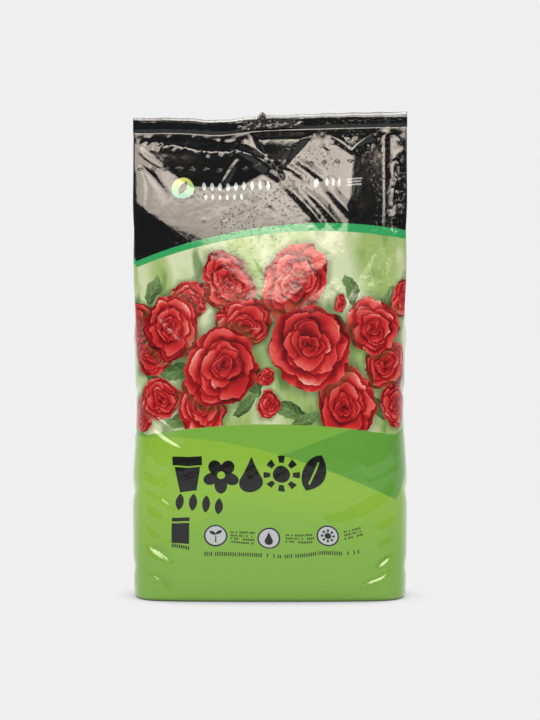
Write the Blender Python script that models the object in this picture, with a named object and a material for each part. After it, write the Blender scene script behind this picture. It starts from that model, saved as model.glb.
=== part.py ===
"""A filled, heat-sealed film bag of potting compost, standing on its base.

The bag is one blown film tube with a gusset in each side. It is welded shut along the top and the
bottom, and it is full of compost, so it is one closed solid. Units are metres and +Z is up. The
front is at -Y, and the origin is in the middle of the base.

Run it with: blender --background --python part.py
"""

import math

import bmesh
import bpy
from mathutils import Vector

# Size of the bag, filled and standing
FLAT_WIDTH = 0.207
BODY_HEIGHT = 0.3535
FILLED_DEPTH = 0.100
BASE_ROLL = 0.004

# Welded band along the top, with its slanting cut edge and unprinted white margin
SEAL_HEIGHT = 0.0110
SEAL_THICKNESS = 0.0012
WELD_GROOVE = 0.0002
SEAL_WAVE = 0.0022
EDGE_SLANT = 0.0046
EDGE_DIP = 0.0026
EDGE_DIP_ACROSS = -0.038
EDGE_DIP_WIDTH = 0.022
SLANT_START = 0.72
WHITE_MARGIN = 0.0024
MARGIN_TAPER = 0.0014
NIB_HEIGHT = 0.0040
NIB_WIDTH = 0.0050
NIB_ACROSS = -0.0060

# Side gussets, tucked in below the weld and pushed open by the fill further down
GUSSET_TUCK = 0.026
FILLED_PANEL_SHARE = 0.90
FOLDED_PANEL_SHARE = 0.995
FOLD_START = 0.50
FOLD_END = 0.86

# Bottom weld, folded flat under the base
FIN_WIDTH = 0.012
FIN_LENGTH_MARGIN = 0.012
FIN_OFFSET = 0.010
CREASE_WIDTH = 0.0020
CREASE_DEPTH = 0.0010

# Folds in the film: the unit of width and of height that the fold tables are written in
FOLD_WIDTH = 0.004
FOLD_HEIGHT = 0.002

# Printed fields of colour, by their heights above the base in the middle of the panel
LIME_HEIGHT = 0.1330
LIME_SAG = 0.0086
SWEEP_NARROW = 0.0020
SWEEP_WIDE = 0.0480
BAND_HEIGHT = 0.2763
BAND_SAG = 0.0146
BAND_PEAK = 0.36
BAND_THICKNESS = 0.0055
BAND_TAPER = 0.0010

# How finely the film is divided: columns round it, and rows up each printed field
PANEL_COLUMNS = 44
GUSSET_COLUMNS = 8
BASE_TURN_ROWS = 5
LIME_ROWS = 11
SWEEP_ROWS = 4
PICTURE_ROWS = 15
BAND_ROWS = 1
SLACK_ROWS = 15
SEAL_ROWS = 2
MARGIN_ROWS = 1

# Shape at each height, from the base (0) to the weld (1): half width, depth in the middle of the
# panel, depth at the panel's edge and tuck of the gusset, as shares of the sizes above
STATIONS = (
    (0.000, 0.992, 0.830, 0.720, 0.00),
    (0.045, 0.998, 0.900, 0.770, 0.00),
    (0.140, 1.002, 0.970, 0.800, 0.00),
    (0.255, 1.002, 1.000, 0.800, 0.00),
    (0.335, 0.992, 0.976, 0.770, 0.03),
    (0.410, 0.988, 0.924, 0.720, 0.06),
    (0.470, 0.996, 0.872, 0.672, 0.06),
    (0.565, 1.004, 0.768, 0.584, 0.12),
    (0.625, 1.004, 0.692, 0.524, 0.22),
    (0.675, 1.002, 0.618, 0.468, 0.34),
    (0.737, 1.000, 0.520, 0.398, 0.50),
    (0.785, 0.998, 0.436, 0.340, 0.66),
    (0.844, 0.998, 0.330, 0.260, 0.86),
    (0.900, 0.998, 0.230, 0.176, 1.00),
    (0.948, 0.999, 0.144, 0.108, 0.96),
    (0.976, 1.000, 0.088, 0.068, 0.70),
    (1.000, 1.000, 0.000, 0.000, 0.00),
)

# Folds: where each starts and ends (across from -1 to 1, up from 0 to 1), its width and height in
# fold units, and its sideways bow as a share of its length. A height below 0 is a valley.
FRONT_FOLDS = (
    # Slack film below the weld: rolled panes on the left and in the middle, and the pulls
    # that run down and out of them
    (-0.86, 0.930, -0.10, 0.938, 1.8, 2.0, 0.04),
    (-0.12, 0.962, 0.34, 0.966, 1.7, 1.6, 0.03),
    (-1.00, 0.985, -0.60, 0.858, 1.7, 1.9, 0.03),
    (-1.00, 0.945, -0.72, 0.848, 1.7, -1.3, 0.03),
    (-1.00, 0.820, -0.62, 0.738, 2.2, -1.6, 0.03),
    (-0.20, 0.966, 0.14, 0.896, 1.7, 1.7, 0.03),
    (0.08, 0.893, 0.42, 0.790, 1.7, 1.8, 0.03),
    (0.24, 0.880, 0.54, 0.790, 1.7, 1.5, 0.03),
    (0.16, 0.938, 0.42, 0.884, 1.7, 1.3, 0.02),
    (0.36, 0.995, 0.62, 0.946, 1.7, 1.4, 0.00),
    (0.58, 0.946, 0.86, 0.995, 1.7, 1.7, 0.02),
    (0.86, 0.990, 0.85, 0.720, 3.0, -2.4, 0.01),
    # Crumpled film beyond the crease
    (0.86, 0.905, 1.02, 0.855, 1.7, 1.2, 0.00),
    (0.86, 0.842, 1.02, 0.796, 1.7, 1.2, 0.00),
    # Long, shallow hollows of the printed middle
    (-0.62, 0.700, -0.30, 0.520, 5.0, -0.7, 0.06),
    (0.55, 0.720, 0.70, 0.480, 5.0, -0.8, -0.05),
    # Creases at the waist, where the slack film meets the compost
    (-1.02, 0.412, -0.60, 0.325, 1.7, -1.5, -0.06),
    (-1.02, 0.455, -0.66, 0.368, 1.6, 0.9, -0.04),
    (1.02, 0.448, 0.80, 0.330, 1.6, -1.2, 0.05),
    (0.96, 0.360, 0.70, 0.250, 1.8, -0.7, 0.08),
    # Pulls that fan out from the lower corners
    (1.00, 0.282, 0.40, 0.180, 1.9, -1.4, 0.10),
    (1.00, 0.222, 0.52, 0.138, 2.4, 1.0, 0.08),
    (1.00, 0.138, 0.74, 0.086, 1.7, -1.7, 0.02),
    (0.94, 0.100, 0.62, 0.046, 1.7, 1.3, 0.14),
    (-1.00, 0.246, -0.68, 0.208, 1.7, -1.2, 0.10),
    (-1.00, 0.196, -0.80, 0.168, 1.7, -1.0, 0.08),
    (-1.00, 0.134, -0.70, 0.092, 1.8, -1.3, 0.10),
    (-1.00, 0.076, -0.66, 0.026, 1.7, -1.4, 0.06),
)
BACK_FOLDS = (
    (-0.90, 0.962, 0.10, 0.956, 1.7, 1.5, -0.02),
    (0.25, 0.968, 0.92, 0.958, 1.6, 1.3, 0.03),
    (-0.70, 0.925, -0.20, 0.815, 1.8, 1.0, 0.05),
    (0.05, 0.935, 0.50, 0.800, 1.8, 1.1, -0.05),
    (0.95, 0.950, 0.62, 0.800, 1.6, -1.1, 0.04),
    (-0.95, 0.900, -0.66, 0.760, 1.8, -1.0, 0.05),
    (-0.40, 0.690, 0.30, 0.600, 4.6, -0.9, 0.05),
    (-1.02, 0.440, -0.50, 0.350, 1.8, -1.5, 0.05),
    (1.02, 0.420, 0.62, 0.340, 1.8, -1.4, -0.05),
    (-1.00, 0.230, -0.50, 0.150, 1.9, -1.4, 0.08),
    (1.00, 0.250, 0.55, 0.190, 1.7, -1.3, -0.08),
    (-1.00, 0.110, -0.66, 0.060, 1.7, -1.3, 0.05),
    (1.00, 0.100, 0.70, 0.040, 1.7, -1.4, -0.05),
)
# Folds of a gusset run from its front edge (-1) to its back edge (1)
GUSSET_FOLDS = (
    (-1.00, 0.452, 0.60, 0.400, 1.8, -1.3, 0.06),
    (-0.60, 0.340, 1.00, 0.385, 1.6, -1.2, 0.05),
    (-1.00, 0.240, 0.40, 0.205, 1.8, -1.0, 0.04),
    (0.10, 0.120, 1.00, 0.150, 1.8, -1.0, 0.04),
)

FIELD_COLOURS = {
    "lime_print": (0.27, 0.48, 0.07),
    "sweep_print": (0.13, 0.32, 0.05),
    "picture_print": (0.50, 0.60, 0.34),
    "band_print": (0.04, 0.38, 0.13),
    "black_print": (0.008, 0.008, 0.009),
    "white_margin": (0.72, 0.73, 0.73),
}
FILM_ROUGHNESS = 0.18


def clear_scene():
    """Removes the startup objects and the data that they leave behind."""
    for obj in list(bpy.data.objects):
        bpy.data.objects.remove(obj, do_unlink=True)
    bpy.ops.outliner.orphans_purge(do_recursive=True)


def film_material(name, colour):
    """A glossy printed film of one colour."""
    material = bpy.data.materials.new(name)
    material.use_nodes = True
    surface = material.node_tree.nodes["Principled BSDF"]
    surface.inputs["Base Color"].default_value = (*colour, 1.0)
    surface.inputs["Roughness"].default_value = FILM_ROUGHNESS
    surface.inputs["Metallic"].default_value = 0.0
    return material


def smooth(t):
    """An S-curve from 0 to 1."""
    t = min(max(t, 0.0), 1.0)
    return t * t * (3.0 - 2.0 * t)


def slopes_at(k):
    """The slopes of the curve through the stations at station k, one for each share."""
    near = [step for step in (k - 1, k) if 0 <= step < len(STATIONS) - 1]
    spans = [STATIONS[step + 1][0] - STATIONS[step][0] for step in near]
    total = sum(spans)
    slopes = []
    for i in range(1, 5):
        rises = [STATIONS[step + 1][i] - STATIONS[step][i] for step in near]
        parts = [rise / span * (1.0 - span / total) for rise, span in zip(rises, spans)]
        slopes.append(sum(parts) if len(near) > 1 else rises[0] / spans[0])
    return slopes


def station_at(up):
    """The four shape shares at a height, read from a smooth curve through the stations."""
    last = len(STATIONS) - 1
    k = max(i for i in range(last) if STATIONS[i][0] <= up or i == 0)
    low, high = STATIONS[k], STATIONS[k + 1]
    span = high[0] - low[0]
    t = min((up - low[0]) / span, 1.0)
    ends = (2 * t**3 - 3 * t**2 + 1, t**3 - 2 * t**2 + t, 3 * t**2 - 2 * t**3, t**3 - t**2)
    shares = []
    for i, (leave, arrive) in enumerate(zip(slopes_at(k), slopes_at(k + 1)), start=1):
        parts = (low[i], leave * span, high[i], arrive * span)
        shares.append(sum(end * part for end, part in zip(ends, parts)))
    return shares


def fold_height(folds, across, up, unit_across, unit_up):
    """How far the folds lift the film at one place, outwards."""
    total = 0.0
    for x0, z0, x1, z1, width, height, bow in folds:
        along = Vector(((x1 - x0) * unit_across, (z1 - z0) * unit_up))
        here = Vector(((across - x0) * unit_across, (up - z0) * unit_up))
        length = along.length
        t = here.dot(along) / length**2
        if not 0.0 < t < 1.0:
            continue
        off_line = (along.x * here.y - along.y * here.x) / length
        off_line -= bow * length * 4.0 * t * (1.0 - t)
        profile = math.exp(-((off_line / (width * FOLD_WIDTH)) ** 2))
        total += height * FOLD_HEIGHT * profile * math.sin(math.pi * t) ** 0.6
    return total


def folded_share(up):
    """How far the gusset is folded at a height: 0 where the fill has pushed it open, up to 1."""
    return smooth((up - FOLD_START) / (FOLD_END - FOLD_START))


def panel_share(up):
    """The share of the width that the flat panel takes up at a height."""
    return FILLED_PANEL_SHARE + (FOLDED_PANEL_SHARE - FILLED_PANEL_SHARE) * folded_share(up)


def base_inset(z):
    """How far the film has rolled in where it turns under the base."""
    if z >= BASE_ROLL:
        return 0.0
    return BASE_ROLL - math.sqrt(BASE_ROLL**2 - (BASE_ROLL - z) ** 2)


def seal_shift(across, up):
    """How far the leaning weld lifts the film on the right and lowers it on the left."""
    lean = 2.0 * smooth((across + 1.0) / 2.0) - 1.0
    from_dip = (across * FLAT_WIDTH / 2 - EDGE_DIP_ACROSS) / EDGE_DIP_WIDTH
    shift = EDGE_SLANT / 2 * lean - EDGE_DIP * math.exp(-(from_dip**2))
    return shift * smooth((up - SLANT_START) / (1.0 - SLANT_START))


def seal_offset(across, up):
    """The gentle wave of the weld line, seen from above, fading out down the bag."""
    wave = math.sin(4.1 * across + 0.6) + 0.35 * math.sin(9.7 * across)
    return SEAL_WAVE * wave * smooth((up - 0.80) / 0.20)


def section_point(kind, place, z):
    """One point of the film at height z.

    kind is front, back, left or right. place is across from -1 to 1 on a panel, and from the
    front edge (-1) to the back edge (1) on a gusset.
    """
    up = min(z / BODY_HEIGHT, 1.0)
    width_share, middle_share, edge_share, tuck_share = station_at(up)
    inset = base_inset(z)
    half_width = width_share * FLAT_WIDTH / 2 - inset / 2
    half_seal = SEAL_THICKNESS / 2 - WELD_GROOVE * math.exp(-(((z - BODY_HEIGHT) / 0.0012) ** 2))
    middle = max(middle_share * FILLED_DEPTH / 2, 0.0) + half_seal - inset
    edge = max(edge_share * FILLED_DEPTH / 2, 0.0) + half_seal - inset
    squareness = 14.0 * 10.0 ** (2.0 * folded_share(up))
    corner = math.sqrt(1.0 - panel_share(up) ** squareness)
    slack = 1.0 - smooth((up - 0.955) / 0.045)
    if kind in ("front", "back"):
        across = place * panel_share(up)
        rounding = math.sqrt(1.0 - abs(across) ** squareness)
        depth = rounding * (edge + (middle - edge) * (1.0 - abs(across) ** 2.2))
        folds = FRONT_FOLDS if kind == "front" else BACK_FOLDS
        lift = fold_height(folds, place, up, FLAT_WIDTH / 2, BODY_HEIGHT)
        depth += slack * lift * (1.0 - place**12)
        side = -1.0 if kind == "front" else 1.0
        x, y = half_width * across, side * depth
    else:
        turned = place * corner
        reach = (1.0 - turned**2) ** (1.0 / squareness)
        depth = turned * (edge + (middle - edge) * (1.0 - reach**2.2))
        lift = fold_height(GUSSET_FOLDS, place, up, FILLED_DEPTH / 2, BODY_HEIGHT)
        tuck = tuck_share * GUSSET_TUCK * (1.0 - abs(place)) ** 1.15
        out = half_width * reach - tuck + slack * lift * (1.0 - place**4)
        x, y = (-out if kind == "left" else out), depth
    across = x / (FLAT_WIDTH / 2)
    return Vector((x, y + seal_offset(across, up), z + seal_shift(across, up)))


def print_place(kind, place, height):
    """Where a place on the film lies in the print, from -1 to 1.

    The print runs over each panel from side to side, and on over the gussets without a break.
    """
    share = panel_share(height / BODY_HEIGHT)
    if kind == "front":
        return place * share
    if kind == "back":
        return -place * share
    return -place * share if kind == "right" else place * share


def field_edges(kind, place):
    """Heights of the printed fields' edges and of the film's edges at one place round the bag."""
    low = print_place(kind, place, LIME_HEIGHT)
    lime = LIME_HEIGHT - LIME_SAG * low**2
    sweep = lime - SWEEP_NARROW - (SWEEP_WIDE - SWEEP_NARROW) * ((low + 1.0) / 2.0) ** 1.3
    high = print_place(kind, place, BAND_HEIGHT)
    band_low = BAND_HEIGHT - BAND_SAG * (high - BAND_PEAK) ** 2
    band_high = band_low + BAND_THICKNESS + BAND_TAPER * high
    edge = print_place(kind, place, BODY_HEIGHT)
    nib = 0.0
    if kind in ("front", "back"):
        from_nib = abs(place * FOLDED_PANEL_SHARE * FLAT_WIDTH / 2 - NIB_ACROSS)
        nib = max(0.0, 1.0 - from_nib / (NIB_WIDTH / 2))
    top = BODY_HEIGHT + SEAL_HEIGHT
    white = WHITE_MARGIN + MARGIN_TAPER * edge
    return [0.0, sweep, lime, band_low, band_high, BODY_HEIGHT, top - white, top + nib * NIB_HEIGHT]


# Each field's name and how many rows of the film it has, from the base up
FIELDS = (
    ("lime_print", BASE_TURN_ROWS + LIME_ROWS),
    ("sweep_print", SWEEP_ROWS),
    ("picture_print", PICTURE_ROWS),
    ("band_print", BAND_ROWS),
    ("black_print", SLACK_ROWS),
    ("black_print", SEAL_ROWS),
    ("white_margin", MARGIN_ROWS),
)


def row_steps(field):
    """Where the rows of a field lie, from its lower edge (0) to its upper edge (1)."""
    name, count = FIELDS[field]
    steps = [(k + 1) / count for k in range(count)]
    if name == "lime_print":
        # Closer together where the film turns under the base
        turn = [step**1.9 for step in steps[:BASE_TURN_ROWS]]
        rest = 1.0 - turn[-1]
        return turn + [turn[-1] + rest * (k + 1) / LIME_ROWS for k in range(LIME_ROWS)]
    if count == SLACK_ROWS and name == "black_print":
        return [1.0 - (1.0 - step) ** 1.25 for step in steps]
    return steps


def panel_places():
    """Places across a panel, with the nib's own three columns among the even ones."""
    half_panel = FOLDED_PANEL_SHARE * FLAT_WIDTH / 2
    nib = [(NIB_ACROSS + k * NIB_WIDTH / 2) / half_panel for k in (-1, 0, 1)]
    even = [-1.0 + 2.0 * k / PANEL_COLUMNS for k in range(PANEL_COLUMNS + 1)]
    clear = NIB_WIDTH / 4 / half_panel
    return sorted([e for e in even if min(abs(e - n) for n in nib) > clear] + nib)


def ring_places():
    """(kind, place) of each point round the tube, starting at the front's left edge."""
    panel = panel_places()
    inner = [-1.0 + 2.0 * k / GUSSET_COLUMNS for k in range(1, GUSSET_COLUMNS)]
    ring = [("front", place) for place in panel]
    ring += [("right", place) for place in inner]
    ring += [("back", place) for place in reversed(panel)]
    ring += [("left", place) for place in reversed(inner)]
    return ring, len(panel)


def add_ring(mesh, ring, field, step):
    """Adds one row of points round the tube."""
    points = []
    for kind, place in ring:
        edges = field_edges(kind, place)
        z = edges[field] + (edges[field + 1] - edges[field]) * step
        points.append(mesh.verts.new(section_point(kind, place, z)))
    return points


def close_base(mesh, ring, panel_count):
    """Closes the base with a flat grid between the front's and the back's lowest points."""
    last = panel_count - 1
    back_start = last + GUSSET_COLUMNS
    lines = []
    for i in range(panel_count):
        front, back = ring[i], ring[back_start + last - i]
        inner = [
            mesh.verts.new(front.co.lerp(back.co, k / GUSSET_COLUMNS))
            for k in range(1, GUSSET_COLUMNS)
        ]
        lines.append([front, *inner, back])
    right = ring[last : back_start + 1]
    left = [ring[0], *reversed(ring[back_start + last + 1 :]), ring[back_start + last]]
    faces = []
    for near, far in zip([left, *lines], [*lines, right]):
        for k in range(GUSSET_COLUMNS):
            corners = []
            for vert in (near[k], near[k + 1], far[k + 1], far[k]):
                if vert not in corners:
                    corners.append(vert)
            faces.append(mesh.faces.new(corners))
    return faces


def close_top(mesh, ring, panel_count):
    """Closes the cut edge of the welded band."""
    last = panel_count - 1
    back_start = last + GUSSET_COLUMNS
    faces = []
    for i in range(last):
        j = back_start + last - i
        faces.append(mesh.faces.new((ring[i], ring[i + 1], ring[j - 1], ring[j])))
    faces.append(mesh.faces.new(ring[last : back_start + 1]))
    faces.append(mesh.faces.new([*ring[back_start + last :], ring[0]]))
    return faces


def film_tube(collection):
    """The filled bag as one closed surface: a loft through sections of unlike shape."""
    mesh = bmesh.new()
    places, panel_count = ring_places()
    slots = list(FIELD_COLOURS)
    rows = [add_ring(mesh, places, 0, 0.0)]
    for face in close_base(mesh, rows[0], panel_count):
        face.material_index = slots.index("lime_print")
    for field, (name, _) in enumerate(FIELDS):
        for step in row_steps(field):
            rows.append(add_ring(mesh, places, field, step))
            below, above = rows[-2:]
            for i in range(len(places)):
                j = (i + 1) % len(places)
                face = mesh.faces.new((below[i], below[j], above[j], above[i]))
                face.material_index = slots.index(name)
    for face in close_top(mesh, rows[-1], panel_count):
        face.material_index = slots.index("white_margin")
    bmesh.ops.recalc_face_normals(mesh, faces=mesh.faces)
    data = bpy.data.meshes.new("compost_bag")
    mesh.to_mesh(data)
    mesh.free()
    data.shade_smooth()
    data.set_sharp_from_angle(angle=math.radians(50))
    for name, colour in FIELD_COLOURS.items():
        data.materials.append(film_material(name, colour))
    bag = bpy.data.objects.new("compost_bag", data)
    collection.objects.link(bag)
    return bag


def crease_cutter(name, start, end, cutters):
    """A slim box that presses one crease line into the base, from start to end."""
    along = Vector(end) - Vector(start)
    bpy.ops.mesh.primitive_cube_add(size=1.0)
    cutter = bpy.context.active_object
    cutter.name = name
    cutter.scale = (along.length, CREASE_WIDTH, 2.0 * CREASE_DEPTH)
    cutter.rotation_euler.z = math.atan2(along.y, along.x)
    middle = (Vector(start) + Vector(end)) / 2
    cutter.location = (middle.x, middle.y, 0.0)
    for owner in list(cutter.users_collection):
        owner.objects.unlink(cutter)
    cutters.objects.link(cutter)
    cutter.hide_render = True
    cutter.display_type = "WIRE"
    return cutter


def fold_lines_under_base():
    """The weld and the fin's cut edge, and the four tucks where the gussets fold in."""
    reach = FLAT_WIDTH / 2 - FIN_LENGTH_MARGIN
    weld_y, edge_y = FIN_OFFSET, FIN_OFFSET + FIN_WIDTH
    tuck = FILLED_DEPTH / 4
    lines = {
        "weld_line": ((-reach, weld_y), (reach, weld_y)),
        "fin_edge": ((-reach, edge_y), (reach, edge_y)),
    }
    for side, name in ((-1, "left"), (1, "right")):
        inner = side * (reach - tuck)
        lines[f"front_tuck_{name}"] = (
            (inner, weld_y - 2 * CREASE_WIDTH),
            (side * reach, weld_y - 2 * CREASE_WIDTH - tuck),
        )
    return lines


def press_base_creases(bag, cutters):
    """Cuts the crease lines of the folded bottom weld into the flat base."""
    for name, (start, end) in fold_lines_under_base().items():
        cut = bag.modifiers.new(name, "BOOLEAN")
        cut.operation = "DIFFERENCE"
        cut.object = crease_cutter(name, start, end, cutters)


def centre_on_base(bag):
    """Moves the film so that the middle of its outline lies over the origin."""
    points = [vert.co for vert in bag.data.vertices]
    low = [min(point[i] for point in points) for i in range(3)]
    high = [max(point[i] for point in points) for i in range(3)]
    for vert in bag.data.vertices:
        vert.co.x -= (low[0] + high[0]) / 2
        vert.co.y -= (low[1] + high[1]) / 2


def main():
    """Builds the bag."""
    clear_scene()
    parts = bpy.data.collections.new("compost bag")
    cutters = bpy.data.collections.new("cutters")
    for collection in (parts, cutters):
        bpy.context.scene.collection.children.link(collection)
    bag = film_tube(parts)
    centre_on_base(bag)
    press_base_creases(bag, cutters)


main()
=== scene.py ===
"""Looks of a filled, heat-sealed film bag of potting compost that stands on its base.

The film starts as one flat web of printed plastic. It is wrapped into a tube with a gusset in each
side, welded along the top and the bottom, filled, and creased where the slack film meets the fill.
Lengths are in millimetres until a mesh is written, which is in metres. The front is at -Y.
"""

import logging
import math
from collections.abc import Callable
from dataclasses import dataclass, field, replace
from enum import Enum

import bmesh
import bpy
import numpy as np
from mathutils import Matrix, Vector


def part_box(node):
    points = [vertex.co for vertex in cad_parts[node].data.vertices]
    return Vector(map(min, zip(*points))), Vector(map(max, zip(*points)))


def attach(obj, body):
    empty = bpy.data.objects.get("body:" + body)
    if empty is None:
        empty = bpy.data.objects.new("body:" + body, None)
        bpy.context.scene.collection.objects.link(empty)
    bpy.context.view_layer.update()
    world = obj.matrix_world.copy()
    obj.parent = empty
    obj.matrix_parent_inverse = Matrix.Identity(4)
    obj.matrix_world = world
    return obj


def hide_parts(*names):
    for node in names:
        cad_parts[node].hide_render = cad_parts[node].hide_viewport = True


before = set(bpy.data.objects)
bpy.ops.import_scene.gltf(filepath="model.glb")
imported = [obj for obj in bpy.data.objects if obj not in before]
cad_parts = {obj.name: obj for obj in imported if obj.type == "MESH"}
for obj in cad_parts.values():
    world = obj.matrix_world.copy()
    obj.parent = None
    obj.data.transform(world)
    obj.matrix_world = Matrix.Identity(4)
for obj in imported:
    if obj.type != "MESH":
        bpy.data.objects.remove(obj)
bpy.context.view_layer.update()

NODE = "compost_bag"
MM = 0.001
# The photo's height and the row of the bag's base in it, in pixels, and the size of a pixel
FRAME_HEIGHT_PX = 720
BAG_BASE_PX = 595.5
PIXEL_MM = 0.76
# The width of a gusset's film, as a share of half the front's
GUSSET_WEB = 0.8
# How far the weld along the base reaches to the corners, as a share of half the front
BASE_WELD = 0.97
# A sharp fold: how blunt its line is, what that takes off its height, and how its sides bend
BLUNTNESS = 0.012
BLUNT_LOSS = 0.11
SIDE_POWER = 1.15
# How soon a fold reaches its height from either end
END_POWER = 0.55
# The height of the weld in the folds' own coordinates
DRAWN_WELD = 357.0

Pair = tuple[float, float]
Triple = tuple[float, float, float]
Array = np.ndarray

log = logging.getLogger("compost_bag")


class Side(Enum):
    """Which wall of the tube a point of the film lies on."""

    FRONT = 0
    RIGHT = 1
    BACK = 2
    LEFT = 3


class Crest(Enum):
    """The form of a fold across its line."""

    ROUND = "round"
    SHARP = "sharp"


def smooth(value: Array) -> Array:
    """An S-curve from 0, where the value is 0 or less, to 1, where it is 1 or more."""
    t = np.clip(value, 0.0, 1.0)
    return t * t * (3.0 - 2.0 * t)


@dataclass(frozen=True)
class Fold:
    """A fold in the film, in millimetres across from the middle and up from the base.

    A positive height stands out of the film and a negative one is pressed into it. The width is
    that of the side on the right hand of someone who walks from start to end, and far_width is that
    of the other side, where it differs.
    """

    start: Pair
    end: Pair
    width: float
    height: float
    bow: float = 0.0
    far_width: float | None = None
    crest: Crest = Crest.SHARP

    def lift(self, across: Array, up: Array) -> Array:
        """Works out how far the fold lifts the film.

        Args:
            across: Places across the panel.
            up: Heights above the base.

        Returns:
            The lift at each point, in millimetres.
        """
        run, rise = self.end[0] - self.start[0], self.end[1] - self.start[1]
        length = math.hypot(run, rise)
        dx, dz = across - self.start[0], up - self.start[1]
        along = (dx * run + dz * rise) / length**2
        inside = np.clip(along, 0.0, 1.0)
        off = (run * dz - rise * dx) / length - self.bow * length * 4.0 * inside * (1.0 - inside)
        distance = np.abs(off) / np.where(off > 0.0, self.far_width or self.width, self.width)
        if self.crest is Crest.SHARP:
            slope = 1.0 - np.sqrt(distance**2 + BLUNTNESS) + BLUNT_LOSS
            form = np.maximum(slope, 0.0) ** SIDE_POWER
        else:
            form = np.exp(-(distance**2))
        within = (along >= 0.0) & (along <= 1.0)
        return np.where(within, self.height * form * np.sin(np.pi * inside) ** END_POWER, 0.0)


@dataclass(frozen=True)
class Dent:
    """A broad, smooth hollow or swell of the film."""

    centre: Pair
    radii: Pair
    height: float
    turn: float = 0.0
    power: float = 2.0

    def lift(self, across: Array, up: Array) -> Array:
        """Works out how far the dent lifts the film.

        Args:
            across: Places across the panel.
            up: Heights above the base.

        Returns:
            The lift at each point, in millimetres.
        """
        c, s = math.cos(math.radians(self.turn)), math.sin(math.radians(self.turn))
        dx, dz = across - self.centre[0], up - self.centre[1]
        a = (dx * c + dz * s) / self.radii[0]
        b = (dz * c - dx * s) / self.radii[1]
        return self.height * np.exp(-((a * a + b * b) ** (self.power / 2.0)))


@dataclass(frozen=True)
class Facet:
    """A flat pane of film between creases, lifted like a hipped roof from the edges of an outline.

    The corners run anticlockwise. Each has its x, its z and the rise of the edge that starts there:
    how far in from that edge the full height is reached. A long rise is a gentle pane and a short
    one is a steep side.
    """

    corners: tuple[Triple, ...]
    height: float

    def lift(self, across: Array, up: Array) -> Array:
        """Works out how far the facet lifts the film.

        Args:
            across: Places across the panel.
            up: Heights above the base.

        Returns:
            The lift at each point, in millimetres.
        """
        share = np.ones_like(across)
        ends = self.corners[1:] + self.corners[:1]
        for (x, z, rise), (end_x, end_z, _) in zip(self.corners, ends):
            run, climb = end_x - x, end_z - z
            inside = (run * (up - z) - climb * (across - x)) / math.hypot(run, climb)
            share = np.minimum(share, inside / rise)
        return self.height * np.maximum(share, 0.0)


def creases(*rows: tuple[float, ...]) -> list[Fold]:
    """Sharp folds, from rows of start x, z, end x, z, width, height, bow and far width."""
    return [Fold(row[:2], row[2:4], *row[4:]) for row in rows]


def rounds(*rows: tuple[float, ...]) -> list[Fold]:
    """Round folds, from rows like those of creases."""
    return [replace(fold, crest=Crest.ROUND) for fold in creases(*rows)]


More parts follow.
